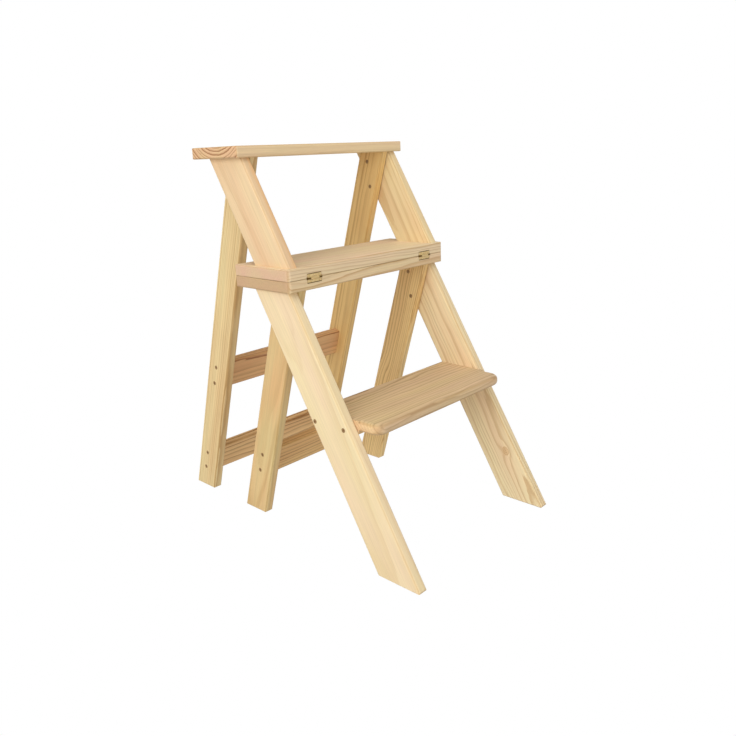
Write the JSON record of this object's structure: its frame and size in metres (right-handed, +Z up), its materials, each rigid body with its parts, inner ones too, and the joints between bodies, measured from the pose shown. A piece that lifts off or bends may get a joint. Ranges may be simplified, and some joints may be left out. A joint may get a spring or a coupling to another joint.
{
  "type": "step ladder",
  "caption": "Folding wooden step ladder of two hinged pine frames; the upper frame turns over forwards about the doubled middle step to make a low chair.",
  "frame": {"origin": "on the floor, under the middle of the ladder's overall box", "axes": "+X to the user's right, -Y towards the user (the side the steps are climbed from), +Z up"},
  "size_m": [0.392, 0.602, 0.656],
  "materials": {
    "pine_board": "clear satin pine, flat sawn, knots few",
    "pine_light": "clear satin pine, pale sapwood",
    "pine_leg": "clear satin pine, straight grained",
    "pine_rail": "clear satin pine, reddish heartwood",
    "beech": "plain turned beech, glued in",
    "brass": "aged satin brass",
    "screw_steel": "dark bronze-coloured steel"
  },
  "bodies": {
    "lower_frame": {"lower_seat_board": "pine_board", "lower_tread": "pine_board", "left_lower_stringer": "pine_light", "right_lower_stringer": "pine_light", "left_short_leg": "pine_leg", "right_short_leg": "pine_leg", "lower_rail": "pine_rail", "left_hinge_lower_leaf": "brass", "right_hinge_lower_leaf": "brass", "left_hinge_pin": "brass", "right_hinge_pin": "brass", "left_lower_leaf_screws": "brass", "right_lower_leaf_screws": "brass", "left_tread_screws": "screw_steel", "right_tread_screws": "screw_steel", "left_lower_rail_screws": "screw_steel", "right_lower_rail_screws": "screw_steel", "left_lower_leg_screws": "screw_steel", "right_lower_leg_screws": "screw_steel", "left_lower_seat_dowels": "beech", "right_lower_seat_dowels": "beech"},
    "upper_frame": {"top_step": "pine_board", "upper_seat_board": "pine_board", "left_upper_stringer": "pine_light", "right_upper_stringer": "pine_light", "left_rear_leg": "pine_leg", "right_rear_leg": "pine_leg", "rear_mid_rail": "pine_rail", "rear_low_rail": "pine_rail", "left_hinge_upper_leaf": "brass", "right_hinge_upper_leaf": "brass", "left_upper_leaf_screws": "brass", "right_upper_leaf_screws": "brass", "left_mid_rail_screws": "screw_steel", "right_mid_rail_screws": "screw_steel", "left_low_rail_screws": "screw_steel", "right_low_rail_screws": "screw_steel", "left_upper_leg_screws": "screw_steel", "right_upper_leg_screws": "screw_steel", "left_top_step_dowels": "beech", "right_top_step_dowels": "beech", "left_upper_seat_dowels": "beech", "right_upper_seat_dowels": "beech"}
  },
  "joints": [
    {"name": "seat_flip", "type": "hinge", "parent": "lower_frame", "child": "upper_frame", "pos_m": [0, -0.0612, 0.45], "axis": [1, 0, 0], "range_deg": [0, 180]}
  ]
}
